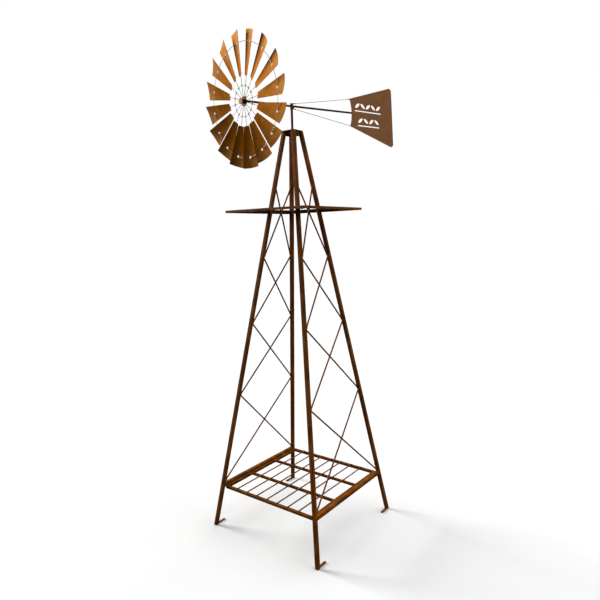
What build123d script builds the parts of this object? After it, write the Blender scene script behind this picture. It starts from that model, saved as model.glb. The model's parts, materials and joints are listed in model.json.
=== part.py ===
from build123d import *

import math
import os

# Garden windmill: a four-legged lattice tower with a plant shelf and a deck, a head that turns
# on the mast, and a sixteen-blade wheel that spins on the front end of the head's boom.
#
# Millimetres. Origin on the ground at the tower's centre, +Z up. The two braced tower faces are
# the -X and +X sides. The head points its tail along HEADING at rest.

# ---- tower ----
TOWER_HEIGHT = 2038.0      # ground to the top of the cap plate
BASE_HALF = 332.0          # leg centre line from the tower axis, at the ground
TOP_HALF = 28.6            # the same at TOWER_HEIGHT
TUBE = 19.0                # square leg and rail tube
TUBE_WALL = 1.5
TUBE_CORNER_R = 2.5        # outside corner radius of the tube
CORNERS = {"left": (-1, -1), "near": (1, -1), "right": (1, 1), "far": (-1, 1)}

CAP_PLATE = 3.0            # plate on the leg tops
CAP_HALF = 39.0
CAP_CORNER_R = 4.0
CAP_EDGE_R = 0.8
CAP_BAND_HEIGHT = 20.0     # flats joining the legs under the plate
CAP_BAND_THICK = 4.0

FOOT_WIDTH = 12.0          # ground tabs
FOOT_THICK = 5.0
FOOT_TIP = 268.0           # tab tip from the X axis
FOOT_EDGE_R = 1.2
PEG_HOLE_Y = 276.0
PEG_HOLE_R = 2.6

# ---- lattice bracing ----
BRACE_R = 4.0
BRACE_LEVELS = (1770.0, 1418.0, 1079.0, 703.0)
BRACE_FEET = {-1: 243.0, 1: 234.0}   # lowest rod ends, at the -Y and the +Y legs
BRACE_OFFSET = 4.05        # each rod of a crossing pair from the leg centre plane
BRACE_RUN_ON = 8.0         # rod length trimmed off by the leg face

# ---- shelf ----
RAIL_TOP = 226.0
GRATE_TOP = 218.0          # top of the shelf frame, under the rods
GRATE_BAR = 16.0           # side and end bar width
GRATE_BAR_DEPTH = 14.0
GRATE_HALF_X = 285.0
GRATE_HALF_Y = 299.0
GRATE_CORNER_R = 9.0       # outer corners of the shelf frame, in plan
BAR_EDGE_R = 1.6           # long edges of the shelf bars
CROSS_BAR_WIDTH = 14.0
CROSS_BAR_DEPTH = 12.0
CROSS_BAR_Y = 100.0
GRATE_ROD_R = 3.3
GRATE_ROD_COUNT = 7
GRATE_ROD_PITCH = 66.5
GRATE_ROD_HALF = 290.0
LUG_YS = (-235.0, 190.0)   # lugs that hold the shelf frame to the rails
LUG_WIDTH = 12.0
LUG_DEPTH = 8.0

# ---- deck ----
DECK_TOP = 1653.0
DECK_HALF = 247.0
DECK_LIP = 12.0
DECK_SHEET = 1.5
DECK_FOLD_R = 1.4          # outside of the folds
DECK_OPENING_HALF = 98.0
BRACKET_THICK = 3.0
BRACKET_REACH = 124.0      # outer end of each bracket from the YZ plane
DECK_BOLT_X = 112.0
DECK_BOLT_R = 2.5
DECK_BOLT_HEAD_R = 4.5     # countersunk head, flush with the deck
DECK_NUT = 3.0

# ---- yaw bearing ----
BOOM_Z = 2157.0            # boom axis where it crosses the mast
BOSS_R = 9.0
BOSS_HEIGHT = 8.0
PIN_R = 3.0
RUNNING_CLEARANCE = 0.05
PIN_TOP = 2150.0
MAST_R = 6.0
MAST_GAP = 0.2             # under the turning mast tube
BLOCK_R = 7.5
BLOCK_BELOW = 14.0         # head block reach below and above the boom axis
BLOCK_ABOVE = 13.0
BLOCK_BORE_TOP = 2151.0

# ---- boom and tail ----
HEADING = 10.85            # degrees from +Y towards +X, wheel to tail
NOSE_DOWN = 2.77           # degrees the wheel end hangs below level
BOOM_R = 5.0
BOOM_TAIL = 535.0          # boom end behind the vane, from the mast
GUSSET_LENGTH = 17.0
GUSSET_THICK = 2.0
GUSSET_SIDE = 1.5          # clear of the lower stay wire

VANE_START = 418.0         # inner edge of the vane from the mast
VANE_LENGTH = 369.0
VANE_INNER_HALF = 72.7
VANE_OUTER_HALF = 172.5
VANE_THICK = 2.0
VANE_DROOP = 1.0           # degrees the vane is turned down from the boom line
VANE_SCALLOP = 13.5        # depth of the hollow inner edge
VANE_RAKE = 10.0           # how much shorter the upper edge is
VANE_CORNER_R = 20.0
VANE_BOLT_XS = (450.0, 515.0)
VANE_BOLT_R = 2.0
VANE_BOLT_HEAD_R = 4.5
VANE_BOLT_HEAD = 2.5
VANE_BOLT_TAIL = 4.0
LEAF_LENGTH = 46.0
LEAF_WIDTH = 17.0
LEAF_TURN = 32.0           # degrees each leaf leans off its stem
LEAF_ROWS = (
    (62.0, 42.0, 44.0, 5),   # first leaf x, row height, leaf pitch, leaf count
    (84.0, -36.0, 46.0, 4),
)
STEM_WIDTH = 6.0
STEM_DROP = 28.0

WIRE_R = 1.25
WIRE_START_Z = 10.5
WIRE_END_X = 436.0
WIRE_END_Z = 72.0
WIRE_END_SIDE = 3.75

# ---- wheel ----
WHEEL_DISTANCE = 294.8     # wheel centre in front of the mast, along the boom
WHEEL_DROP = 2.2           # wheel centre below the boom line
AXLE_TURN = 1.28           # degrees the axle is turned beyond the boom's heading
AXLE_TILT = 1.88           # degrees it points further down than the boom
BLADE_COUNT = 16
FIRST_BLADE = 20.6         # degrees clockwise from the top, seen from the front
BLADE_TIP_R = 302.0
BLADE_ROOT_R = 110.5
BLADE_TIP_HALF = 45.9
BLADE_ROOT_HALF = 15.2
BLADE_ROOT_CORNER = 4.5
BLADE_THICK = 1.0
BLADE_CAMBER_R = 220.0
BLADE_PITCH = 16.4         # degrees, clockwise edge forward
BLADE_HOLE_R = 5.6
RING_R = 252.5
INNER_RING_R = 68.7
RING_WIRE_R = 1.0
SPOKE_R = 1.25
SPOKE_Z = -1.83            # behind the wheel plane
SPOKE_START = 13.0
SPOKE_END = 244.0

HUB_FLANGE_R = 20.0
HUB_FLANGE_THICK = 6.0
HUB_R = 10.0
HUB_BACK = -7.5            # along the wheel axis, forward positive
HUB_FRONT = 14.0
AXLE_R = 3.0
AXLE_FRONT = 10.0
NUT_POCKET_R = 7.0
NUT_POCKET_BACK = 4.0
NUT_GAP = 0.2
NUT_R = 5.5
NUT_LENGTH = 5.0
HUB_CAP_R = 13.5
HUB_CAP_THICK = 3.0
LUG_PLATE_BACK = -14.0     # plate between the boom and the hub
LUG_PLATE_FRONT = -8.0
LUG_PLATE_WIDTH = 12.0
LUG_PLATE_BITE = 3.0       # how far the boom's end is let into the plate
LUG_PLATE_LOW = -12.0
LUG_PLATE_HIGH = 22.0

MIN = Align.MIN
MID = Align.CENTER


def tailward(turn_degrees, rise_degrees):
    """Unit vector turned from +Y towards +X and rising, and the upward vector square to it."""
    turn = math.radians(turn_degrees)
    rise = math.radians(rise_degrees)
    flat = math.cos(rise)
    along = Vector(math.sin(turn) * flat, math.cos(turn) * flat, math.sin(rise))
    side = along.cross(Vector(0, 0, 1)).normalized()
    return along, side.cross(along)


def head_plane():
    """Head frame: origin where the boom crosses the mast, x towards the tail, z up."""
    along, above = tailward(HEADING, NOSE_DOWN)
    return Plane(origin=(0, 0, BOOM_Z), x_dir=along, z_dir=above)


def wheel_plane():
    """Wheel frame: origin at the wheel centre, x up, z forward along the axle."""
    head = head_plane()
    centre = head.origin - head.x_dir * WHEEL_DISTANCE - head.z_dir * WHEEL_DROP
    along, above = tailward(HEADING + AXLE_TURN, NOSE_DOWN + AXLE_TILT)
    return Plane(origin=centre, x_dir=above, z_dir=-along)


def leg_half(z):
    """Distance of a leg's centre line from the tower axis, in X and in Y, at height z."""
    return BASE_HALF + (TOP_HALF - BASE_HALF) * z / TOWER_HEIGHT


def box(x0, x1, y0, y1, z0, z1):
    """Box between two corners."""
    size = Box(x1 - x0, y1 - y0, z1 - z0, align=(MIN, MIN, MIN))
    return Pos(x0, y0, z0) * size


def rod(start, end, radius):
    """Round bar between two points."""
    run = Vector(end) - Vector(start)
    bar = Cylinder(radius, run.length, align=(MID, MID, MIN))
    return Plane(origin=start, z_dir=run) * bar


def disc(radius, z0, z1):
    """Upright cylinder on the local z axis."""
    return Pos(0, 0, z0) * Cylinder(radius, z1 - z0, align=(MID, MID, MIN))


def tube_outline(inset):
    """Square tube section, or its bore when inset by the wall."""
    size = TUBE - 2 * inset
    return RectangleRounded(size, size, TUBE_CORNER_R - inset)


def leg_prism(corner, inset):
    """Solid bar that follows a leg's centre line from the ground to the cap plate, with level ends."""
    sx, sy = CORNERS[corner]
    top = TOWER_HEIGHT - CAP_PLATE
    shift = leg_half(top) - BASE_HALF
    section = Pos(sx * BASE_HALF, sy * BASE_HALF, 0) * tube_outline(inset)
    return Part() + Solid.extrude(section.face(), Vector(sx * shift, sy * shift, top))


def leg_envelope(corner):
    """Filled outline of a leg, for trimming what meets it."""
    return leg_prism(corner, 0.0)


def leg(corner):
    """Square tube leg."""
    return leg_envelope(corner) - leg_prism(corner, TUBE_WALL)


def foot(corner):
    """Flat ground tab that points inwards from a leg, with a peg hole."""
    sx, sy = CORNERS[corner]
    round_y = FOOT_TIP + FOOT_WIDTH / 2
    y0, y1 = sorted((sy * round_y, sy * BASE_HALF))
    x = sx * BASE_HALF
    tab = box(x - FOOT_WIDTH / 2, x + FOOT_WIDTH / 2, y0, y1, 0.0, FOOT_THICK)
    tab += Pos(x, sy * round_y, 0) * disc(FOOT_WIDTH / 2, 0.0, FOOT_THICK)
    top = tab.faces().sort_by(Axis.Z)[-1]
    tab = fillet(top.edges(), FOOT_EDGE_R)
    tab -= Pos(x, sy * PEG_HOLE_Y, 0) * disc(PEG_HOLE_R, 0.0, FOOT_THICK)
    return tab - leg_envelope(corner)


def top_cap():
    """Plate on the leg tops with four flats that tie the legs together."""
    under = TOWER_HEIGHT - CAP_PLATE
    cap = box(-CAP_HALF, CAP_HALF, -CAP_HALF, CAP_HALF, under, TOWER_HEIGHT)
    cap = fillet(cap.edges().filter_by(Axis.Z), CAP_CORNER_R)
    cap = fillet(cap.faces().sort_by(Axis.Z)[-1].edges(), CAP_EDGE_R)
    reach = leg_half(under)
    half = CAP_BAND_THICK / 2
    for side in (-1, 1):
        low = under - CAP_BAND_HEIGHT
        cap += box(side * reach - half, side * reach + half, -reach, reach, low, under)
        cap += box(-reach, reach, side * reach - half, side * reach + half, low, under)
    for corner in CORNERS:
        cap -= leg_envelope(corner)
    return cap


def brace_rod(sx, level, start_side):
    """One rod of a crossing pair, from start_side at a level to the other side one level down."""
    high = BRACE_LEVELS[level]
    low = (BRACE_LEVELS + (BRACE_FEET[-start_side],))[level + 1]
    lean = start_side * BRACE_OFFSET
    face = TUBE / 2
    top = Vector(sx * leg_half(high) + lean, start_side * (leg_half(high) - face), high)
    foot_end = Vector(sx * leg_half(low) + lean, -start_side * (leg_half(low) - face), low)
    run = (foot_end - top).normalized() * BRACE_RUN_ON
    return rod(top - run, foot_end + run, BRACE_R)


def brace_panel(sx, level):
    """Crossing pair of rods in one panel of a braced face."""
    pair = [brace_rod(sx, level, -1), brace_rod(sx, level, 1)]
    for corner, signs in CORNERS.items():
        if signs[0] == sx:
            pair = [piece - leg_envelope(corner) for piece in pair]
    return Compound([piece.solid() for piece in pair])


def rail(sx):
    """Square tube rail between the two legs of a braced face."""
    reach = leg_half(RAIL_TOP - TUBE / 2)
    x = sx * reach
    low = RAIL_TOP - TUBE
    end = Plane(origin=(x, -BASE_HALF, RAIL_TOP - TUBE / 2), x_dir=(1, 0, 0), z_dir=(0, 1, 0))
    tube = extrude(end * (tube_outline(0.0) - tube_outline(TUBE_WALL)), 2 * BASE_HALF)
    for corner, signs in CORNERS.items():
        if signs[0] == sx:
            tube -= leg_envelope(corner)
    keep = box(x - TUBE, x + TUBE, -reach, reach, low - TUBE, RAIL_TOP + TUBE)
    return (tube & keep).solids().sort_by(SortBy.VOLUME)[-1]


def grate_frame():
    """Outline frame of the shelf, before it is cut into bars."""
    reach_x = 2 * (GRATE_HALF_X - GRATE_BAR)
    reach_y = 2 * (GRATE_HALF_Y - GRATE_BAR)
    outline = RectangleRounded(2 * GRATE_HALF_X, 2 * GRATE_HALF_Y, GRATE_CORNER_R)
    outline -= Rectangle(reach_x, reach_y)
    low = GRATE_TOP - GRATE_BAR_DEPTH
    frame = extrude(Pos(0, 0, low) * outline, GRATE_BAR_DEPTH)
    levels = frame.edges().group_by(Axis.Z)
    return fillet(levels[0] + levels[-1], BAR_EDGE_R)


def grate_side_bar(sx):
    """Bar along one side of the shelf frame."""
    x0, x1 = sorted((sx * GRATE_HALF_X, sx * (GRATE_HALF_X - GRATE_BAR)))
    low = GRATE_TOP - GRATE_BAR_DEPTH
    return grate_frame() & box(x0, x1, -GRATE_HALF_Y, GRATE_HALF_Y, low, GRATE_TOP)


def grate_end_bar(sy):
    """Bar across one end of the shelf frame."""
    reach = GRATE_HALF_X - GRATE_BAR
    y0, y1 = sorted((sy * GRATE_HALF_Y, sy * (GRATE_HALF_Y - GRATE_BAR)))
    return grate_frame() & box(-reach, reach, y0, y1, GRATE_TOP - GRATE_BAR_DEPTH, GRATE_TOP)


def grate_cross_bar(sy):
    """Bar across the middle of the shelf frame."""
    reach = GRATE_HALF_X - GRATE_BAR
    y = sy * CROSS_BAR_Y
    half = CROSS_BAR_WIDTH / 2
    bar = box(-reach, reach, y - half, y + half, GRATE_TOP - CROSS_BAR_DEPTH, GRATE_TOP)
    return fillet(bar.edges().filter_by(Axis.X), BAR_EDGE_R)


def grate_rods():
    """Row of thin rods lying on the shelf frame."""
    z = GRATE_TOP + GRATE_ROD_R
    first = -(GRATE_ROD_COUNT - 1) / 2 * GRATE_ROD_PITCH
    rods = []
    for index in range(GRATE_ROD_COUNT):
        x = first + index * GRATE_ROD_PITCH
        rods.append(rod((x, -GRATE_ROD_HALF, z), (x, GRATE_ROD_HALF, z), GRATE_ROD_R).solid())
    return Compound(rods)


def grate_lugs():
    """Lugs that fill the gap between the shelf frame and the rails."""
    face = leg_half(RAIL_TOP - TUBE / 2) - TUBE / 2
    half = LUG_WIDTH / 2
    lugs = []
    for sx in (-1, 1):
        x0, x1 = sorted((sx * GRATE_HALF_X, sx * face))
        for y in LUG_YS:
            lug = box(x0, x1, y - half, y + half, GRATE_TOP - LUG_DEPTH, GRATE_TOP)
            lugs.append(lug.solid())
    return Compound(lugs)


def deck_bolt_points():
    """Where the four deck bolts stand."""
    y = leg_half(DECK_TOP)
    return [(sx * DECK_BOLT_X, sy * y) for sx, sy in CORNERS.values()]


def deck_bolt_head():
    """Countersunk head that fills the thickness of the deck sheet."""
    cone = Cone(DECK_BOLT_R, DECK_BOLT_HEAD_R, DECK_SHEET, align=(MID, MID, MIN))
    return Pos(0, 0, DECK_TOP - DECK_SHEET) * cone


def deck():
    """Folded sheet deck with a lip turned down and an opening for the tower."""
    low = DECK_TOP - DECK_LIP
    inner = DECK_HALF - DECK_SHEET
    tray = box(-DECK_HALF, DECK_HALF, -DECK_HALF, DECK_HALF, low, DECK_TOP)
    tray = fillet(tray.edges().filter_by(Axis.Z), DECK_FOLD_R)
    tray = fillet(tray.faces().sort_by(Axis.Z)[-1].edges(), DECK_FOLD_R / 2)
    tray -= box(-inner, inner, -inner, inner, low, DECK_TOP - DECK_SHEET)
    hole = DECK_OPENING_HALF
    tray -= box(-hole, hole, -hole, hole, low, DECK_TOP)
    for x, y in deck_bolt_points():
        tray -= Pos(x, y, 0) * deck_bolt_head()
    return tray


def deck_brackets():
    """Four flats welded to the legs that carry the deck."""
    top = DECK_TOP - DECK_SHEET
    y_leg = leg_half(DECK_TOP)
    brackets = []
    for corner, (sx, sy) in CORNERS.items():
        x0, x1 = sorted((sx * (y_leg + TUBE / 4), sx * BRACKET_REACH))
        y0, y1 = sy * y_leg - TUBE / 2, sy * y_leg + TUBE / 2
        flat = box(x0, x1, y0, y1, top - BRACKET_THICK, top)
        flat -= Pos(sx * DECK_BOLT_X, sy * y_leg, 0) * disc(DECK_BOLT_R, top - BRACKET_THICK, top)
        flat -= leg_envelope(corner)
        brackets.append(flat.solids().sort_by(SortBy.VOLUME)[-1])
    return Compound(brackets)


def deck_bolts():
    """Bolts through the deck and its brackets, with a flush head above and a nut below."""
    under_sheet = DECK_TOP - DECK_SHEET
    under_bracket = under_sheet - BRACKET_THICK
    bolt = deck_bolt_head()
    bolt += disc(DECK_BOLT_R, under_bracket, under_sheet)
    bolt += disc(DECK_BOLT_HEAD_R, under_bracket - DECK_NUT, under_bracket)
    return Compound([(Pos(x, y, 0) * bolt).solid() for x, y in deck_bolt_points()])


def pivot_pin():
    """Boss and pin on the cap that the mast tube turns on."""
    boss = disc(BOSS_R, TOWER_HEIGHT, TOWER_HEIGHT + BOSS_HEIGHT)
    return boss + disc(PIN_R, TOWER_HEIGHT + BOSS_HEIGHT, PIN_TOP)


def mast_tube():
    """Tube that turns on the pivot pin."""
    low = TOWER_HEIGHT + BOSS_HEIGHT + MAST_GAP
    high = BOOM_Z - BLOCK_BELOW
    return disc(MAST_R, low, high) - disc(PIN_R + RUNNING_CLEARANCE, low, high)


def head_block():
    """Block at the top of the mast tube that grips the boom."""
    low = BOOM_Z - BLOCK_BELOW
    block = disc(BLOCK_R, low, BOOM_Z + BLOCK_ABOVE)
    block -= disc(PIN_R + RUNNING_CLEARANCE, low, BLOCK_BORE_TOP)
    half = 2 * BLOCK_R
    return block - head_plane() * rod((-half, 0, 0), (half, 0, 0), BOOM_R)


def boom():
    """Boom rod with the axle lug on its front end."""
    front = -WHEEL_DISTANCE - LUG_PLATE_BACK - LUG_PLATE_BITE
    bar = rod((front, 0, 0), (BOOM_TAIL, 0, 0), BOOM_R)
    for x in VANE_BOLT_XS:
        bar -= rod((x, -2 * BOOM_R, 0), (x, 2 * BOOM_R, 0), VANE_BOLT_R)
    return head_plane() * bar + axle_lug()


def gusset():
    """Small web under the boom, behind the mast and beside the lower stay wire."""
    outline = Polyline(
        (0, 0), (GUSSET_LENGTH + MAST_R, 0), (MAST_R, -GUSSET_LENGTH), (0, -GUSSET_LENGTH), close=True
    )
    turn = Vector(math.sin(math.radians(HEADING)), math.cos(math.radians(HEADING)), 0)
    upright = Plane(origin=(0, 0, BOOM_Z), x_dir=turn, z_dir=turn.cross(Vector(0, 0, 1)))
    web = extrude(upright * Pos(0, 0, -GUSSET_SIDE) * make_face(outline), -GUSSET_THICK)
    web -= head_plane() * rod((-BLOCK_R, 0, 0), (2 * GUSSET_LENGTH, 0, 0), BOOM_R)
    web -= disc(MAST_R, BOOM_Z - 2 * GUSSET_LENGTH, BOOM_Z)
    web -= disc(BLOCK_R, BOOM_Z - BLOCK_BELOW, BOOM_Z + BLOCK_ABOVE)
    return web.solids().sort_by(SortBy.VOLUME)[-1]


def leaf():
    """Pointed leaf outline lying along x."""
    radius = (LEAF_LENGTH**2 + LEAF_WIDTH**2) / (4 * LEAF_WIDTH)
    shift = radius - LEAF_WIDTH / 2
    return (Pos(0, shift) * Circle(radius)) & (Pos(0, -shift) * Circle(radius))


def vane_outline():
    """Tapered tail plate with a hollow inner edge, rounded outer corners and a leafy stencil."""
    top_share = 1 - VANE_RAKE / VANE_LENGTH
    top_half = VANE_INNER_HALF + (VANE_OUTER_HALF - VANE_INNER_HALF) * top_share
    plate = make_face(
        Polyline(
            (0, VANE_INNER_HALF),
            (VANE_LENGTH * top_share, top_half),
            (VANE_LENGTH, -VANE_OUTER_HALF),
            (0, -VANE_INNER_HALF),
            close=True,
        )
    )
    outer = [v for v in plate.vertices() if v.X > VANE_LENGTH / 2]
    plate = fillet(outer, VANE_CORNER_R)
    scallop = (VANE_INNER_HALF**2 + VANE_SCALLOP**2) / (2 * VANE_SCALLOP)
    plate -= Pos(VANE_SCALLOP - scallop, 0) * Circle(scallop)
    for first, height, pitch, count in LEAF_ROWS:
        for index in range(count):
            x = first + index * pitch
            turn = LEAF_TURN if index % 2 == 0 else -LEAF_TURN
            plate -= Pos(x, height) * Rot(0, 0, turn) * leaf()
        length = (count - 1) * pitch + LEAF_LENGTH
        middle = first + (count - 1) * pitch / 2
        plate -= Pos(middle, height - STEM_DROP) * Rectangle(length, STEM_WIDTH)
    return plate


def vane():
    """Tail vane, lying against the side of the boom that faces +X at rest."""
    upright = Plane(origin=(VANE_START, -BOOM_R, 0), x_dir=(1, 0, 0), z_dir=(0, -1, 0))
    plate = extrude(upright * Rot(0, 0, -VANE_DROOP) * vane_outline(), VANE_THICK)
    for x in VANE_BOLT_XS:
        plate -= rod((x, -4 * BOOM_R, 0), (x, 0, 0), VANE_BOLT_R)
    return head_plane() * plate


def vane_bolts():
    """Bolts that hold the vane to the boom."""
    face = -BOOM_R - VANE_THICK
    bolts = []
    for x in VANE_BOLT_XS:
        bolt = rod((x, face, 0), (x, BOOM_R + VANE_BOLT_TAIL, 0), VANE_BOLT_R)
        bolt += rod((x, face - VANE_BOLT_HEAD, 0), (x, face, 0), VANE_BOLT_HEAD_R)
        nut = rod((x, 0, 0), (x, BOOM_R + VANE_BOLT_TAIL, 0), VANE_BOLT_HEAD_R)
        nut -= rod((x - 2 * BOOM_R, 0, 0), (x + 2 * BOOM_R, 0, 0), BOOM_R)
        nut &= box(x - BOOM_R * 2, x + BOOM_R * 2, BOOM_R / 2, BOOM_R * 3, -BOOM_R * 2, BOOM_R * 2)
        bolts.append((head_plane() * (bolt + nut)).solids().sort_by(SortBy.VOLUME)[-1])
    return Compound(bolts)


def stay_wire(side):
    """Thin stay from the head block to an inner corner of the vane."""
    start = (0, 0, side * WIRE_START_Z)
    end = (WIRE_END_X, -WIRE_END_SIDE, side * WIRE_END_Z)
    return head_plane() * rod(start, end, WIRE_R) - head_block() - pin_space()


def pin_space():
    """Bore of the head block, kept clear of the stay wires."""
    return disc(PIN_R + 2 * WIRE_R, BOOM_Z - 2 * BLOCK_BELOW, BLOCK_BORE_TOP)


def stay_wires():
    """Upper and lower stays of the vane."""
    return Compound([stay_wire(side).solids().sort_by(SortBy.VOLUME)[-1] for side in (1, -1)])


def axle_lug():
    """Lug plate behind the hub, with the wheel's axle standing on it."""
    plate = box(
        LUG_PLATE_LOW,
        LUG_PLATE_HIGH,
        -LUG_PLATE_WIDTH / 2,
        LUG_PLATE_WIDTH / 2,
        LUG_PLATE_BACK,
        LUG_PLATE_FRONT,
    )
    return wheel_plane() * (plate + disc(AXLE_R, LUG_PLATE_FRONT, AXLE_FRONT))


def axle_nut():
    """Nut that keeps the wheel on the axle."""
    back = NUT_POCKET_BACK + NUT_GAP
    nut = disc(NUT_R, back, back + NUT_LENGTH)
    return wheel_plane() * (nut - disc(AXLE_R, back, back + NUT_LENGTH))


def spoke_set():
    """Spokes in the wheel frame."""
    spokes = []
    for index in range(BLADE_COUNT):
        turn = math.radians(-FIRST_BLADE - index * 360 / BLADE_COUNT)
        way = Vector(math.cos(turn), math.sin(turn), 0)
        start = way * SPOKE_START + Vector(0, 0, SPOKE_Z)
        end = way * SPOKE_END + Vector(0, 0, SPOKE_Z)
        spokes.append(rod(start, end, SPOKE_R).solid())
    return spokes


def hub():
    """Hub barrel with the spoke flange, an axle bore and a pocket for the nut."""
    half = HUB_FLANGE_THICK / 2
    body = disc(HUB_R, HUB_BACK, HUB_FRONT)
    body += disc(HUB_FLANGE_R, SPOKE_Z - half, SPOKE_Z + half)
    body -= disc(AXLE_R + RUNNING_CLEARANCE, HUB_BACK, NUT_POCKET_BACK)
    body -= disc(NUT_POCKET_R, NUT_POCKET_BACK, HUB_FRONT)
    for spoke in spoke_set():
        body -= spoke
    return wheel_plane() * body


def hub_cap():
    """Round cap over the front of the hub."""
    return wheel_plane() * disc(HUB_CAP_R, HUB_FRONT, HUB_FRONT + HUB_CAP_THICK)


def spokes():
    """All the wheel's spokes."""
    return Compound([wheel_plane() * spoke for spoke in spoke_set()])


def inner_ring():
    """Small wire ring lying on the front of the spokes."""
    z = SPOKE_Z + SPOKE_R + RING_WIRE_R
    return wheel_plane() * (Pos(0, 0, z) * Torus(INNER_RING_R, RING_WIRE_R))


def outer_ring():
    """Wire ring threaded through the blades."""
    return wheel_plane() * Torus(RING_R, RING_WIRE_R)


def blade_shape():
    """Cambered, pitched blade in the wheel frame, pointing along x."""
    outline = make_face(
        Polyline(
            (BLADE_ROOT_R, -BLADE_ROOT_HALF),
            (BLADE_TIP_R, -BLADE_TIP_HALF),
            (BLADE_TIP_R, BLADE_TIP_HALF),
            (BLADE_ROOT_R, BLADE_ROOT_HALF),
            close=True,
        )
    )
    root = [v for v in outline.vertices() if v.X < BLADE_TIP_R / 2]
    outline = fillet(root, BLADE_ROOT_CORNER) & Circle(BLADE_TIP_R)
    outline -= Pos(RING_R, 0) * Circle(BLADE_HOLE_R)
    column = extrude(outline, BLADE_TIP_HALF, both=True)
    axis = (0, 0, BLADE_CAMBER_R)
    far = (BLADE_TIP_R, 0, BLADE_CAMBER_R)
    shell = rod(axis, far, BLADE_CAMBER_R + BLADE_THICK / 2)
    shell -= rod(axis, far, BLADE_CAMBER_R - BLADE_THICK / 2)
    return Rot(-BLADE_PITCH, 0, 0) * (column & shell)


def blade(index):
    """One blade in its place on the wheel."""
    turn = -FIRST_BLADE - index * 360 / BLADE_COUNT
    return wheel_plane() * Rot(0, 0, turn) * blade_shape()


def build():
    """Every node by name."""
    nodes = {}
    for corner in CORNERS:
        nodes[f"leg_{corner}"] = leg(corner)
        nodes[f"foot_{corner}"] = foot(corner)
    for side, sx in (("left", -1), ("right", 1)):
        nodes[f"rail_{side}"] = rail(sx)
        nodes[f"grate_side_{side}"] = grate_side_bar(sx)
        for level in range(len(BRACE_LEVELS)):
            nodes[f"brace_{side}_{level + 1}"] = brace_panel(sx, level)
    for side, sy in (("front", -1), ("back", 1)):
        nodes[f"grate_end_{side}"] = grate_end_bar(sy)
        nodes[f"grate_cross_{side}"] = grate_cross_bar(sy)
    nodes["grate_rods"] = grate_rods()
    nodes["grate_lugs"] = grate_lugs()
    nodes["deck"] = deck()
    nodes["deck_brackets"] = deck_brackets()
    nodes["deck_bolts"] = deck_bolts()
    nodes["top_cap"] = top_cap()
    nodes["pivot_pin"] = pivot_pin()
    nodes["mast_tube"] = mast_tube()
    nodes["head_block"] = head_block()
    nodes["gusset"] = gusset()
    nodes["boom"] = boom()
    nodes["axle_nut"] = axle_nut()
    nodes["vane"] = vane()
    nodes["vane_bolts"] = vane_bolts()
    nodes["stay_wires"] = stay_wires()
    nodes["hub"] = hub()
    nodes["hub_cap"] = hub_cap()
    nodes["spokes"] = spokes()
    nodes["inner_ring"] = inner_ring()
    nodes["outer_ring"] = outer_ring()
    for index in range(BLADE_COUNT):
        nodes[f"blade_{index + 1:02d}"] = blade(index)
    return nodes


os.makedirs("parts", exist_ok=True)
for name, shape in build().items():
    export_step(shape, f"parts/{name}.step")
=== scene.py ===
import json
import math
import random

import bmesh
import bpy
from mathutils import Matrix, Vector, geometry, noise


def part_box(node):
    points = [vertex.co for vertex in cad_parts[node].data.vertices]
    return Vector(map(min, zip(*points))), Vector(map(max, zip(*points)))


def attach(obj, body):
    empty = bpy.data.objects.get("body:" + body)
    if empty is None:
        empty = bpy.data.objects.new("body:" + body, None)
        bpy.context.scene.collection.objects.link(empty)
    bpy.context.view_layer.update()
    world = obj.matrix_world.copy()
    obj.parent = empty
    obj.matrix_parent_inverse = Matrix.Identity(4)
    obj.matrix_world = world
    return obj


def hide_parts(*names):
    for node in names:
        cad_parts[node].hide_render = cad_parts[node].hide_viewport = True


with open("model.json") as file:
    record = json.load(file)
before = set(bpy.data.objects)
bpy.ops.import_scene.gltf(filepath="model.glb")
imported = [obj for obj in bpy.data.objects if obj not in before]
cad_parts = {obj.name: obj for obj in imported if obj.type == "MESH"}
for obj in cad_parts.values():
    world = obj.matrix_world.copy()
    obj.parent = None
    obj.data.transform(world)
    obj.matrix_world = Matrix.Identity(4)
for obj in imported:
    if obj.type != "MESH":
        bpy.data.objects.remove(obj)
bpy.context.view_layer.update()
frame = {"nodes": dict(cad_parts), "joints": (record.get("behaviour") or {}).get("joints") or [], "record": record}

# ---- camera, in metres and degrees ----
CAMERA_PLACE = Vector((1.6753, -2.1627, 1.5272))
CAMERA_HEADING = 38.011      # from +Y towards -X
CAMERA_PITCH = -7.032
CAMERA_ROLL = -1.655
CAMERA_LENS = 31.906
SENSOR = 36.0
SHIFT_X = 0.0086
SHIFT_Y = -0.0005

SEED = 7


# =====================================================================================
# Materials
# =====================================================================================

def srgb(red, green, blue):
    """Linear colour from 0-255 display values."""
    def linear(value):
        value /= 255.0
        return value / 12.92 if value <= 0.04045 else ((value + 0.055) / 1.055) ** 2.4
    return (linear(red), linear(green), linear(blue), 1.0)


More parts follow.
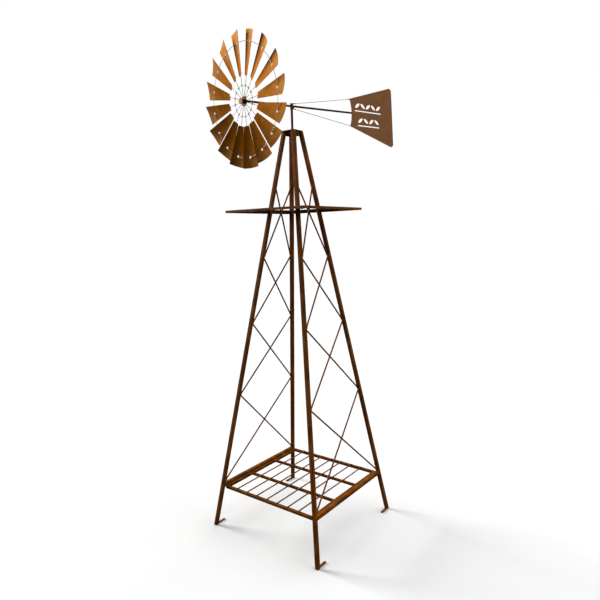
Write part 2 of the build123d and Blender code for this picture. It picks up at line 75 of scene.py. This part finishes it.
class Look:
    """Builds one node material, with short calls for the nodes it uses."""

    def __init__(self, name):
        self.material = bpy.data.materials.new(name)
        self.material.use_nodes = True
        self.tree = self.material.node_tree
        self.shader = next(n for n in self.tree.nodes if n.type == "BSDF_PRINCIPLED")
        self.place = self.node("ShaderNodeTexCoord").outputs["Object"]

    def node(self, kind, **settings):
        made = self.tree.nodes.new(kind)
        for key, value in settings.items():
            setattr(made, key, value)
        return made

    def feed(self, socket, value):
        """Links value if it is a socket, and sets it otherwise."""
        if isinstance(value, bpy.types.NodeSocket):
            self.tree.links.new(value, socket)
        else:
            socket.default_value = value

    def set(self, name, value):
        self.feed(self.shader.inputs[name], value)

    def stretched(self, x, y, z):
        """Object coordinates scaled along each axis."""
        made = self.node("ShaderNodeMapping")
        self.feed(made.inputs["Vector"], self.place)
        made.inputs["Scale"].default_value = (x, y, z)
        return made.outputs["Vector"]

    def noise(self, scale, detail, rough=0.6, place=None):
        made = self.node("ShaderNodeTexNoise")
        self.feed(made.inputs["Vector"], place or self.place)
        made.inputs["Scale"].default_value = scale
        made.inputs["Detail"].default_value = detail
        made.inputs["Roughness"].default_value = rough
        return made.outputs["Fac"]

    def pits(self, scale):
        """Distance to the nearest of many scattered points."""
        made = self.node("ShaderNodeTexVoronoi")
        self.feed(made.inputs["Vector"], self.place)
        made.inputs["Scale"].default_value = scale
        return made.outputs["Distance"]

    def span(self, value, low, high, to_low=0.0, to_high=1.0):
        made = self.node("ShaderNodeMapRange")
        self.feed(made.inputs["Value"], value)
        for name, number in zip(("From Min", "From Max", "To Min", "To Max"), (low, high, to_low, to_high)):
            made.inputs[name].default_value = number
        return made.outputs["Result"]

    def math(self, operation, first, second):
        made = self.node("ShaderNodeMath", operation=operation)
        self.feed(made.inputs[0], first)
        self.feed(made.inputs[1], second)
        return made.outputs["Value"]

    def mix(self, share, first, second):
        made = self.node("ShaderNodeMix", data_type="RGBA")
        self.feed(made.inputs["Factor"], share)
        self.feed(made.inputs[6], first)
        self.feed(made.inputs[7], second)
        return made.outputs[2]

    def edges(self, radius):
        """1 on sharp edges, 0 on open faces."""
        rounded = self.node("ShaderNodeBevel", samples=6)
        rounded.inputs["Radius"].default_value = radius
        flat = self.node("ShaderNodeNewGeometry")
        both = self.node("ShaderNodeVectorMath", operation="DOT_PRODUCT")
        self.feed(both.inputs[0], rounded.outputs["Normal"])
        self.feed(both.inputs[1], flat.outputs["Normal"])
        return self.span(both.outputs["Value"], 0.995, 0.90)

    def from_point(self, point):
        """Distance from a point of the object."""
        made = self.node("ShaderNodeVectorMath", operation="DISTANCE")
        self.feed(made.inputs[0], self.place)
        made.inputs[1].default_value = point
        return made.outputs["Value"]

    def bump(self, height, depth, strength):
        made = self.node("ShaderNodeBump")
        made.inputs["Strength"].default_value = strength
        made.inputs["Distance"].default_value = depth
        self.feed(made.inputs["Height"], height)
        self.set("Normal", made.outputs["Normal"])


SPECK_SCALE = 900.0          # specks of about a millimetre
PIT_SCALE = 420.0            # pits of about two millimetres
EDGE_WIDTH = 0.0012          # how far in from a sharp edge the rust is worn
RUST_RELIEF = 0.00035
ZINC_ROUGHNESS = (0.30, 0.52)


def rust(name, dark, mid, light, worn, rough=(0.46, 0.68), metal=0.12, mottle=11.0, run=0.35, tip_sheen=None,
         gloss=0.05):
    """Weathered, clear-oiled rust: blotches, runs down the steel, fine specks, worn edges and pitting.

    A run below 1 draws the streaks out along Z. tip_sheen is (centre, near, far, colour): a painted
    reflection, the steel turning to that paler colour between two distances from the centre.
    """
    look = Look(name)
    blotch = look.noise(mottle, 6.0, 0.62)
    runs = look.noise(mottle * 3, 4.0, 0.55, look.stretched(1.0, 1.0, run))
    grain = look.noise(mottle * 24, 3.0, 0.7)
    speck = look.noise(SPECK_SCALE, 2.0)
    body = look.mix(look.span(blotch, 0.36, 0.64), dark, mid)
    body = look.mix(look.math("MULTIPLY", look.span(runs, 0.48, 0.72), 0.75), body, light)
    body = look.mix(look.span(grain, 0.35, 0.75, 0.0, 0.28), body, dark)
    body = look.mix(look.span(speck, 0.58, 0.72, 0.0, 0.25), body, light)
    # Painted reflection: the steel turns paler towards the blade tips, a sheen of the surroundings painted into
    # the colour and broken up by the blotches.
    if tip_sheen is not None:
        centre, near, far, pale = tip_sheen
        tip_sheen_share = look.span(look.from_point(centre), near, far)
        tip_sheen_share = look.math("MULTIPLY", tip_sheen_share, look.span(blotch, 0.30, 0.62, 0.35, 0.75))
        body = look.mix(tip_sheen_share, body, pale)
    edge = look.math("MULTIPLY", look.edges(EDGE_WIDTH), look.span(blotch, 0.34, 0.62, 0.15, 0.70))
    body = look.mix(edge, body, worn)
    look.set("Base Color", body)
    look.set("Metallic", metal)
    look.set("Specular IOR Level", gloss)
    look.set("Roughness", look.span(look.math("ADD", blotch, grain), 0.7, 1.3, *rough))
    dents = look.math("MULTIPLY", look.span(look.pits(PIT_SCALE), 0.0, 0.35), 0.45)
    look.bump(look.math("ADD", look.math("ADD", speck, dents), grain), RUST_RELIEF, 0.55)
    return look.material


def zinc(name, tone, stain):
    """Galvanised or zinc-plated steel: cool spangle with a little brown staining."""
    look = Look(name)
    spangle = look.pits(260.0)
    cloud = look.noise(38.0, 5.0)
    shaded = tuple(0.72 * channel for channel in tone[:3]) + (1.0,)
    body = look.mix(look.span(spangle, 0.1, 0.7), tone, shaded)
    body = look.mix(look.span(cloud, 0.56, 0.72, 0.0, 0.8), body, stain)
    look.set("Base Color", body)
    look.set("Metallic", 0.55)
    look.set("Roughness", look.span(cloud, 0.3, 0.7, *ZINC_ROUGHNESS))
    look.bump(look.noise(1400.0, 2.0), 0.0001, 0.4)
    return look.material


def floor_material():
    """Pale matt studio floor with a barely visible grain."""
    look = Look("studio_floor")
    cloud = look.span(look.noise(1.6, 4.0), 0.3, 0.7)
    look.set("Base Color", look.mix(cloud, (0.75, 0.755, 0.765, 1), (0.77, 0.775, 0.78, 1)))
    look.set("Roughness", 0.85)
    look.set("Specular IOR Level", 0.1)
    look.bump(look.noise(240.0, 2.0), 0.0002, 0.2)
    return look.material


wheel_joint = next(j for j in frame["joints"] if j["name"] == "wheel_spin")
WHEEL_CENTRE = Vector(wheel_joint["pos_m"])
WHEEL_AXIS = Vector(wheel_joint["axis"]).normalized()

RUSTS = {
    "leg_rust": dict(
        dark=srgb(82, 41, 3), mid=srgb(116, 64, 8), light=srgb(158, 96, 26), worn=srgb(164, 108, 48),
    ),
    "lattice_rust": dict(
        dark=srgb(82, 42, 2), mid=srgb(118, 66, 6), light=srgb(156, 94, 20), worn=srgb(172, 112, 44),
    ),
    "deck_rust": dict(
        dark=srgb(86, 46, 8), mid=srgb(124, 72, 22), light=srgb(160, 102, 48), worn=srgb(188, 140, 92),
    ),
    "blade_rust": dict(
        dark=srgb(143, 82, 4), mid=srgb(166, 99, 6), light=srgb(186, 116, 14), worn=srgb(199, 137, 50),
        rough=(0.46, 0.62), metal=0.08, mottle=14.0, run=1.0, gloss=0.0,
        # painted reflection: paler sheen colour towards the blade tips
        tip_sheen=(WHEEL_CENTRE, 0.19, 0.32, srgb(196, 134, 70)),
    ),
    "vane_rust": dict(
        dark=srgb(146, 101, 64), mid=srgb(154, 107, 69), light=srgb(164, 116, 77), worn=srgb(176, 128, 90),
        rough=(0.60, 0.75), metal=0.05, mottle=7.0, run=1.0,
    ),
    "cap_rust": dict(
        dark=srgb(140, 79, 28), mid=srgb(172, 102, 42), light=srgb(194, 124, 62), worn=srgb(206, 146, 90),
    ),
    "head_rust": dict(
        dark=srgb(62, 32, 8), mid=srgb(92, 50, 16), light=srgb(130, 78, 34), worn=srgb(160, 106, 58),
    ),
}
ZINCS = {
    # the wire's tone is darker than the bolts': partly the wire's own dark grey, partly painted shadow of the wire
    # on the blades
    "galvanised_wire": dict(tone=(0.20, 0.19, 0.18, 1.0), stain=srgb(84, 60, 42)),
    "zinc_bolt": dict(tone=(0.36, 0.34, 0.31, 1.0), stain=srgb(104, 72, 44)),
}
MATERIALS = {name: rust(name, **look) for name, look in RUSTS.items()}
MATERIALS.update({name: zinc(name, **look) for name, look in ZINCS.items()})


def paint_frame():
    """Gives every CAD node the procedural material of its slot."""
    for row in frame["record"]["subparts"]:
        node = frame["nodes"][row["node"]]
        material = MATERIALS[row["material_slot"]]
        if not node.material_slots:
            node.data.materials.append(material)
        for place in node.material_slots:
            place.material = material


paint_frame()


# =====================================================================================
# Detail pieces: welds, tacks, wire ties and hardware, with every size in metres
# =====================================================================================

FULL_TURN = 2.0 * math.pi
X_AXIS = Vector((1.0, 0.0, 0.0))
Y_AXIS = Vector((0.0, 1.0, 0.0))
Z_AXIS = Vector((0.0, 0.0, 1.0))

BLADES = 16
BRACES = [f"brace_{side}_{level}" for side in ("left", "right") for level in (1, 2, 3, 4)]
LEG_CORNERS = {(-1, -1): "leg_left", (-1, 1): "leg_far", (1, -1): "leg_near", (1, 1): "leg_right"}
BOOM_RADIUS = 0.0050

RIPPLE = 0.0026              # length of one ripple of a weld bead
RIPPLE_STEPS = 3
BEAD_SIDES = 8
WIRE_SIDES = 6
STEPS_PER_TURN = 14


def sides_of(along):
    """Two unit vectors square to a direction and to each other."""
    helper = Z_AXIS if abs(along.z) < 0.9 else X_AXIS
    first = along.cross(helper).normalized()
    return first, along.cross(first).normalized()


def ring_about(centre, first, second, radius, count):
    """Evenly spaced points of a circle in the plane of two unit vectors."""
    turns = [FULL_TURN * step / count for step in range(count)]
    return [centre + (math.cos(turn) * first + math.sin(turn) * second) * radius for turn in turns]


class Piece:
    """One named mesh, built up from several parts."""

    def __init__(self, name, seed):
        self.name = name
        self.work = bmesh.new()
        self.random = random.Random(seed)

    def sweep(self, points, radii, sides, closed=False):
        """Skin around a line of points, with a radius at each point."""
        count = len(points)
        rings = []
        first = None
        for index, point in enumerate(points):
            after = points[(index + 1) % count] if closed or index < count - 1 else point
            before = points[index - 1] if closed or index > 0 else point
            along = (after - before).normalized()
            if first is None:
                first = sides_of(along)[0]
            first = (first - along * first.dot(along)).normalized()
            second = along.cross(first)
            ring = []
            for step in range(sides):
                turn = FULL_TURN * step / sides
                way = math.cos(turn) * first + math.sin(turn) * second
                ring.append(self.work.verts.new(point + way * radii[index]))
            rings.append(ring)
        pairs = list(zip(rings, rings[1:]))
        if closed:
            pairs.append((rings[-1], rings[0]))
        for low, high in pairs:
            for step in range(sides):
                other = (step + 1) % sides
                self.work.faces.new((low[step], low[other], high[other], high[step]))
        if not closed:
            self.work.faces.new(rings[0][::-1])
            self.work.faces.new(rings[-1])

    def bead(self, points, radius, closed=False):
        """Rippled weld bead along a line."""
        laid = []
        stops = points + points[:1] if closed else points
        for start, end in zip(stops, stops[1:]):
            steps = max(2, round((end - start).length / (RIPPLE / RIPPLE_STEPS)))
            laid += [start.lerp(end, step / steps) for step in range(steps)]
        if not closed:
            laid.append(stops[-1])
        radii = []
        for index in range(len(laid)):
            swell = 0.80 + 0.24 * abs(math.sin(index * math.pi / RIPPLE_STEPS))
            radii.append(radius * swell * self.random.uniform(0.88, 1.08))
        self.sweep(laid, radii, BEAD_SIDES, closed)

    def lump(self, centre, size, along=Z_AXIS, stretch=1.0):
        """Uneven weld blob, longer by stretch in one direction."""
        made = bmesh.ops.create_icosphere(self.work, subdivisions=2, radius=1.0)
        offset = Vector([self.random.uniform(0.0, 50.0) for _ in range(3)])
        for vert in made["verts"]:
            spot = vert.co.copy()
            swell = 1.0 + 0.30 * noise.noise(spot * 1.6 + offset)
            spot += along * spot.dot(along) * (stretch - 1.0)
            vert.co = centre + spot * size * swell

    def disc(self, start, end, radius, sides, chamfer):
        """Round or many-sided disc with chamfered rims, between two points."""
        way = (end - start).normalized() * chamfer
        points = [start, start + way, end - way, end]
        self.sweep(points, [radius - chamfer, radius, radius, radius - chamfer], sides)

    def washer(self, start, end, radius):
        self.disc(start, end, radius, sides=24, chamfer=0.0002)

    def hexagon(self, start, end, radius):
        """Nut or bolt head."""
        self.disc(start, end, radius, sides=6, chamfer=0.0003)

    def coil(self, start, end, radius, wire, turns):
        """Wire wound around the line between two points."""
        first, second = sides_of((end - start).normalized())
        steps = round(turns * STEPS_PER_TURN)
        points = []
        for step in range(steps + 1):
            turn = FULL_TURN * turns * step / steps
            way = math.cos(turn) * first + math.sin(turn) * second
            points.append(start.lerp(end, step / steps) + way * radius)
        self.sweep(points, [wire] * len(points), WIRE_SIDES)

    def finish(self, body, slot, smooth=True, hides=()):
        """Makes the object, paints it and ties it to its body."""
        bmesh.ops.recalc_face_normals(self.work, faces=self.work.faces)
        mesh = bpy.data.meshes.new(self.name)
        self.work.to_mesh(mesh)
        self.work.free()
        for face in mesh.polygons:
            face.use_smooth = smooth
        mesh.materials.append(MATERIALS[slot])
        made = bpy.data.objects.new(self.name, mesh)
        bpy.context.scene.collection.objects.link(made)
        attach(made, body)
        if hides:
            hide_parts(*hides)


def spots_of(node):
    """Every mesh point of a CAD node."""
    return [vert.co.copy() for vert in frame["nodes"][node].data.vertices]


def middle(spots):
    return sum(spots, Vector()) / len(spots)


def rod_ends(node):
    """The four rod ends of a brace panel: (-Y top, +Y top, -Y foot, +Y foot)."""
    spots = spots_of(node)
    level = middle(list(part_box(node))).z
    ends = []
    for high in (True, False):
        for side in (-1, 1):
            ends.append(middle([s for s in spots if (s.z > level) == high and s.y * side > 0]))
    return ends


def crossing(first, second):
    """Point midway between two lines where they pass closest, each line given by its ends."""
    hit = geometry.intersect_line_line(*first, *second)
    return (hit[0] + hit[1]) / 2


def brace_welds():
    """Blobs where the lattice rods meet the legs, and small tacks where they cross."""
    bite = 0.0015
    fillet_offset = 0.005
    welds = Piece("brace_welds", SEED)
    tacks = Piece("brace_tacks", SEED + 1)
    for node in BRACES:
        top_front, top_back, foot_front, foot_back = rod_ends(node)
        rods = ((top_front, foot_back), (top_back, foot_front))
        for top, foot in rods:
            for end, far in ((top, foot), (foot, top)):
                inwards = (far - end).normalized()
                welds.lump(end + inwards * bite, 0.0058, inwards, 1.3)
                welds.lump(end + Z_AXIS * math.copysign(fillet_offset, inwards.z), 0.0048)
        tacks.lump(crossing(*rods), 0.0046)
    welds.finish("tower", "lattice_rust")
    tacks.finish("tower", "lattice_rust")


def rim_of(spots):
    """Outline of a tube's end, from its outer points in order around it."""
    outer_share = 0.80
    closest = 0.0008
    centre = middle(spots)
    reach = max(math.hypot(s.x - centre.x, s.z - centre.z) for s in spots)
    outer = [s for s in spots if math.hypot(s.x - centre.x, s.z - centre.z) > outer_share * reach]
    outer.sort(key=lambda s: math.atan2(s.z - centre.z, s.x - centre.x))
    kept = []
    for spot in outer:
        if not kept or (spot - kept[-1]).length > closest:
            kept.append(spot)
    return kept


def rail_welds():
    """Rippled beads all round the ends of the two rails."""
    welds = Piece("rail_welds", SEED + 2)
    for node in ("rail_left", "rail_right"):
        spots = spots_of(node)
        for side in (-1, 1):
            welds.bead(rim_of([s for s in spots if s.y * side > 0]), 0.0019, closed=True)
    welds.finish("tower", "lattice_rust")


def foot_welds():
    """Beads where the ground tabs meet the legs: up one edge, across the top and down the other."""
    inset = 0.0022
    welds = Piece("foot_welds", SEED + 3)
    for corner in ("left", "near", "right", "far"):
        low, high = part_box(f"foot_{corner}")
        y = low.y + inset if low.y < -high.y else high.y - inset
        path = ((low.x, inset), (low.x, high.z), (high.x, high.z), (high.x, inset))
        welds.bead([Vector((x, y, z)) for x, z in path], 0.0018)
    welds.finish("tower", "leg_rust")


def cap_welds():
    """Beads down the flats beside each leg, and a ring around the pivot boss."""
    bead = 0.0017
    gap = 0.0005
    overlap = 0.0115
    welds = Piece("cap_welds", SEED + 4)
    low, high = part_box("top_cap")
    for (sx, sy), leg in LEG_CORNERS.items():
        reach = min(abs(corner.x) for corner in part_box(leg))
        for x, y in ((reach + gap, reach + overlap), (reach + overlap, reach + gap)):
            foot = Vector((sx * x, sy * y, low.z + 0.001))
            head = Vector((sx * x, sy * y, high.z - 0.004))
            welds.bead([foot, head], bead)
    boss_low, boss_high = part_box("pivot_pin")
    ring = ring_about(Z_AXIS * (boss_low.z + 0.0004), X_AXIS, Y_AXIS, boss_high.x, 24)
    welds.bead(ring, bead, closed=True)
    welds.finish("tower", "leg_rust")


def rod_columns(node):
    """X of each rod of a node whose rods all run along Y."""
    widest_rod = 0.02
    columns = []
    for x in sorted(spot.x for spot in spots_of(node)):
        if not columns or x - columns[-1][0] > widest_rod:
            columns.append([])
        columns[-1].append(x)
    return [(column[0] + column[-1]) / 2 for column in columns]


def shelf_tacks():
    """Tacks where the shelf's rods lie on the cross bars and meet the end bars."""
    tacks = Piece("shelf_tacks", SEED + 5)
    low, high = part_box("grate_rods")
    level = (low.z + high.z) / 2
    for x in rod_columns("grate_rods"):
        for bar in ("grate_cross_front", "grate_cross_back"):
            bar_low, bar_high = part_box(bar)
            for side in (-1, 1):
                y = (bar_low.y + bar_high.y) / 2 + tacks.random.uniform(-0.002, 0.002)
                tacks.lump(Vector((x + side * 0.0030, y, level - 0.0026)), 0.0022, Y_AXIS, 1.8)
        for y in (low.y, high.y):
            tacks.lump(Vector((x, y, level - 0.0012)), 0.0028, X_AXIS, 1.25)
    tacks.finish("tower", "lattice_rust")


def shelf_welds():
    """Beads at the ends of the shelf's bars and on its lugs."""
    bead = 0.0015
    inset = 0.0016
    lug_width = 0.012
    welds = Piece("shelf_welds", SEED + 6)
    for bar in ("grate_end_front", "grate_cross_front", "grate_cross_back", "grate_end_back"):
        low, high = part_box(bar)
        z = high.z - 0.0004
        for x in (low.x, high.x):
            welds.bead([Vector((x, low.y + inset, z)), Vector((x, high.y - inset, z))], bead)
    low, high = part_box("grate_lugs")
    for side, sign in (("left", -1), ("right", 1)):
        shelf_side = sign * max(abs(corner.x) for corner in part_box(f"grate_side_{side}"))
        rail_side = sign * min(abs(corner.x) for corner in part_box(f"rail_{side}"))
        for y in (low.y, high.y):
            inner_y = y - math.copysign(lug_width, y)
            for x in (shelf_side, rail_side):
                welds.bead([Vector((x, y, high.z)), Vector((x, inner_y, high.z))], bead)
    welds.finish("tower", "lattice_rust")


def deck_hardware():
    """Countersunk bolts with hexagon nuts and washers under the deck brackets."""
    head = 0.0045
    shank = 0.0025
    washer = 0.0008
    bolts = Piece("deck_hardware", SEED + 7)
    low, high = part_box("deck_bolts")
    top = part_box("deck")[1].z
    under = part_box("deck_brackets")[0].z
    levels = [top, top - 0.0002, top - 0.0015, under - 0.0002]
    radii = [0.0042, head, shank, shank]
    for x in (low.x + head, high.x - head):
        for y in (low.y + head, high.y - head):
            bolts.sweep([Vector((x, y, z)) for z in levels], radii, 20)
            bolts.washer(Vector((x, y, under)), Vector((x, y, under - washer)), 0.0050)
            bolts.hexagon(Vector((x, y, under - washer)), Vector((x, y, low.z)), 0.0044)
    bolts.finish("tower", "zinc_bolt", smooth=False, hides=("deck_bolts",))


def boom_line():
    """Point of the boom on the mast, its direction towards the tail and the direction square to the vane."""
    spots = spots_of("boom")
    tail = max(s.y for s in spots)
    end = middle([s for s in spots if s.y > tail - 0.004])
    turn = math.atan2(end.x, end.y)
    block_low, block_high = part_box("head_block")
    start = Z_AXIS * ((block_low.z + block_high.z) / 2 - 0.0005)
    along = (end - start).normalized()
    return start, along, Vector((math.cos(turn), -math.sin(turn), 0.0))


def vane_bolt(bolts, centre, square, tip, face, head):
    """Bolt through boom and vane: its head stands on the vane's face, its nut on the boom's far side."""
    washer = 0.0006
    nut_size = 0.0042
    past_nut = 0.0012

    def at(depth):
        return centre + square * depth

    bolts.disc(at(tip), at(head), 0.0020, sides=16, chamfer=0.0003)
    bolts.washer(at(face), at(face + washer), 0.0055)
    bolts.hexagon(at(face + washer), at(head), nut_size)
    bolts.washer(at(-BOOM_RADIUS), at(-BOOM_RADIUS - washer), 0.0050)
    bolts.hexagon(at(-BOOM_RADIUS - washer), at(tip + past_nut), nut_size)


def vane_hardware():
    """Hexagon bolts, washers and nuts that hold the vane to the boom."""
    start, along, square = boom_line()
    bolts = Piece("vane_hardware", SEED + 8)
    face = max((s - start).dot(square) for s in spots_of("vane"))
    spots = spots_of("vane_bolts")
    depths = [(s - start).dot(square) for s in spots]
    reaches = [(s - start).dot(along) for s in spots]
    halfway = (min(reaches) + max(reaches)) / 2
    for side in (-1, 1):
        group = [reach for reach in reaches if (reach - halfway) * side > 0]
        centre = start + along * ((min(group) + max(group)) / 2)
        vane_bolt(bolts, centre, square, min(depths), face, max(depths))
    bolts.finish("head", "zinc_bolt", smooth=False, hides=("vane_bolts",))


def head_welds():
    """Beads at the head block: around the boom on both sides, around the mast tube and on the gusset."""
    bead = 0.0014
    start, along, square = boom_line()
    welds = Piece("head_welds", SEED + 9)
    block_low, block_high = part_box("head_block")
    reach = block_high.x
    first, second = sides_of(along)
    for side in (-1, 1):
        centre = start + along * (side * (reach - 0.0004))
        welds.bead(ring_about(centre, first, second, BOOM_RADIUS + 0.0006, 16), bead, closed=True)
    ring = ring_about(Z_AXIS * (block_low.z - 0.0002), X_AXIS, Y_AXIS, reach, 20)
    welds.bead(ring, 0.0012, closed=True)
    gusset = spots_of("gusset")
    lowest = min(s.z for s in gusset)
    near = min(math.hypot(s.x, s.y) for s in gusset)
    flat = Vector((along.x, along.y, 0.0)).normalized()
    web = square * (middle(gusset) - start).dot(square)
    foot = Z_AXIS * lowest + flat * (near + 0.0005) + web
    welds.bead([foot + Z_AXIS * 0.001, foot + Z_AXIS * (start.z - lowest - 0.012)], bead)
    welds.finish("head", "head_rust")


def wire_ends():
    """Turns of wire where the stays are made off, at the vane and at the head block."""
    end_band = 0.01
    wire_size = 0.0008
    coil_size = 0.0017
    start, along, _ = boom_line()
    coils = Piece("stay_wire_ends", SEED + 10)
    spots = spots_of("stay_wires")
    for side in (-1, 1):
        stay = [s for s in spots if (s - start - along * (s - start).dot(along)).z * side > 0]
        reaches = [(s - start).dot(along) for s in stay]
        vane_end = middle([s for s, reach in zip(stay, reaches) if reach > max(reaches) - end_band])
        head_end = middle([s for s, reach in zip(stay, reaches) if reach < min(reaches) + end_band])
        way = (vane_end - head_end).normalized()
        coils.coil(vane_end - way * 0.024, vane_end - way * 0.005, coil_size, wire_size, 7)
        coils.coil(head_end + way * 0.004, head_end + way * 0.018, coil_size, wire_size, 6)
    coils.finish("head", "galvanised_wire")


def spoke_lines(front):
    """For each spoke, the point of its line nearest the wheel's axis, and its direction outwards."""
    up, across = sides_of(front)
    turned = []
    for spot in spots_of("spokes"):
        arm = spot - WHEEL_CENTRE
        turned.append((math.atan2(arm.dot(across), arm.dot(up)), spot))
    step = FULL_TURN / BLADES
    first = min(turn for turn, _ in turned) + 0.05 * step
    groups = {}
    for turn, spot in turned:
        groups.setdefault(round((turn - first) / step) % BLADES, []).append(spot)
    lines = []
    for key in sorted(groups):
        group = groups[key]
        distances = [(s - WHEEL_CENTRE).length for s in group]
        halfway = (min(distances) + max(distances)) / 2
        inner = middle([s for s in group if (s - WHEEL_CENTRE).length < halfway])
        outer = middle([s for s in group if (s - WHEEL_CENTRE).length >= halfway])
        way = (outer - inner).normalized()
        lines.append((inner - way * (inner - WHEEL_CENTRE).dot(way), way))
    return lines


def hub_tacks(spokes):
    """A tack at the foot of each spoke, on the hub's flange."""
    tacks = Piece("hub_tacks", SEED + 11)
    for base, way in spokes:
        tacks.lump(base + way * 0.0205, 0.0019, way, 1.5)
    tacks.finish("wheel", "head_rust")


def ring_ties(spokes, front):
    """A crossed wire tie where each spoke meets the inner ring."""
    half_length = 0.0030
    ties = Piece("ring_ties", SEED + 12)
    distances = [(s - WHEEL_CENTRE).cross(front).length for s in spots_of("inner_ring")]
    ring_radius = sum(distances) / len(distances)
    for base, way in spokes:
        square = way.cross(front)
        knot = base + way * ring_radius + front * 0.0011
        for slant in (-0.9, 0.9):
            run = (way + square * slant).normalized() * half_length
            ties.coil(knot - run, knot + run, radius=0.0028, wire=0.0005, turns=2)
    ties.finish("wheel", "galvanised_wire")


def blade_tacks(spokes, front):
    """Weld tacks on both sides of each spoke, at three places along the back of its blade."""
    tack_radii = (0.118, 0.160, 0.236)
    spoke_radius = 0.0011
    tacks = Piece("blade_tacks", SEED + 13)
    for base, way in spokes:
        square = way.cross(front)
        for radius in tack_radii:
            for side in (-1, 1):
                spot = base + way * radius + square * (spoke_radius * side) + front * 0.0006
                tacks.lump(spot, 0.0012, way, 2.2)
    tacks.finish("wheel", "blade_rust")


def wheel_details():
    """Every tack and tie of the wheel."""
    front = -WHEEL_AXIS if WHEEL_AXIS.y > 0 else WHEEL_AXIS
    spokes = spoke_lines(front)
    hub_tacks(spokes)
    ring_ties(spokes, front)
    blade_tacks(spokes, front)


brace_welds()
rail_welds()
foot_welds()
cap_welds()
shelf_tacks()
shelf_welds()
deck_hardware()
vane_hardware()
head_welds()
wire_ends()
wheel_details()


# =====================================================================================
# Stage, light and camera
# =====================================================================================

FLOOR_RADIUS = 14.0
BACKDROP = (1.0, 1.0, 1.0, 1.0)
SURROUND = (0.072, 0.070, 0.068, 1.0)


def make_floor():
    """Large pale round floor."""
    mesh = bpy.data.meshes.new("studio_floor")
    work = bmesh.new()
    bmesh.ops.create_circle(work, cap_ends=True, radius=FLOOR_RADIUS, segments=96)
    work.to_mesh(mesh)
    work.free()
    floor = bpy.data.objects.new("studio_floor", mesh)
    mesh.materials.append(floor_material())
    bpy.context.scene.collection.objects.link(floor)
    floor.visible_diffuse = False
    floor.visible_glossy = False


def make_sky():
    """Even white backdrop, with a dimmer surround for the light that reaches the object."""
    world = bpy.data.worlds.new("studio")
    bpy.context.scene.world = world
    world.use_nodes = True
    tree = world.node_tree
    tree.nodes.clear()
    output = tree.nodes.new("ShaderNodeOutputWorld")
    blend = tree.nodes.new("ShaderNodeMixShader")
    ray = tree.nodes.new("ShaderNodeLightPath")
    surround = tree.nodes.new("ShaderNodeBackground")
    backdrop = tree.nodes.new("ShaderNodeBackground")
    surround.inputs["Color"].default_value = SURROUND
    backdrop.inputs["Color"].default_value = BACKDROP
    tree.links.new(ray.outputs["Is Camera Ray"], blend.inputs[0])
    tree.links.new(surround.outputs[0], blend.inputs[1])
    tree.links.new(backdrop.outputs[0], blend.inputs[2])
    tree.links.new(blend.outputs[0], output.inputs["Surface"])


def make_light(name, towards, strength, softness, colour):
    """Soft distant light from the side given by towards."""
    light = bpy.data.lights.new(name, "SUN")
    light.energy = strength
    light.angle = math.radians(softness)
    light.color = colour
    lamp = bpy.data.objects.new(name, light)
    lamp.rotation_mode = "QUATERNION"
    lamp.rotation_quaternion = Vector(towards).to_track_quat("Z", "Y")
    bpy.context.scene.collection.objects.link(lamp)


def make_camera():
    """Camera at the viewing angle of the reference view."""
    heading, pitch, roll = (math.radians(a) for a in (CAMERA_HEADING, CAMERA_PITCH, CAMERA_ROLL))
    ahead = Vector(
        (-math.sin(heading) * math.cos(pitch), math.cos(heading) * math.cos(pitch), math.sin(pitch))
    )
    level = Vector((math.cos(heading), math.sin(heading), 0.0))
    above = level.cross(ahead)
    right = math.cos(roll) * level + math.sin(roll) * above
    up = math.cos(roll) * above - math.sin(roll) * level
    data = bpy.data.cameras.new("camera")
    data.sensor_width = SENSOR
    data.lens = CAMERA_LENS
    data.shift_x = SHIFT_X
    data.shift_y = SHIFT_Y
    camera = bpy.data.objects.new("camera", data)
    turn = Matrix((right, up, -ahead)).transposed()
    camera.matrix_world = Matrix.Translation(CAMERA_PLACE) @ turn.to_4x4()
    bpy.context.scene.collection.objects.link(camera)
    bpy.context.scene.camera = camera


make_floor()
make_sky()
make_light("overhead", towards=(0.0, 0.45, 0.9), strength=2.3, softness=60.0, colour=(1.0, 1.0, 0.99))
make_light("key", towards=(-0.92, -0.13, 0.29), strength=6.0, softness=26.0, colour=(1.0, 0.99, 0.97))
make_light("fill", towards=(0.96, 0.12, 0.22), strength=1.25, softness=40.0, colour=(0.98, 0.98, 1.0))
make_camera()
bpy.context.scene.view_settings.view_transform = "Standard"
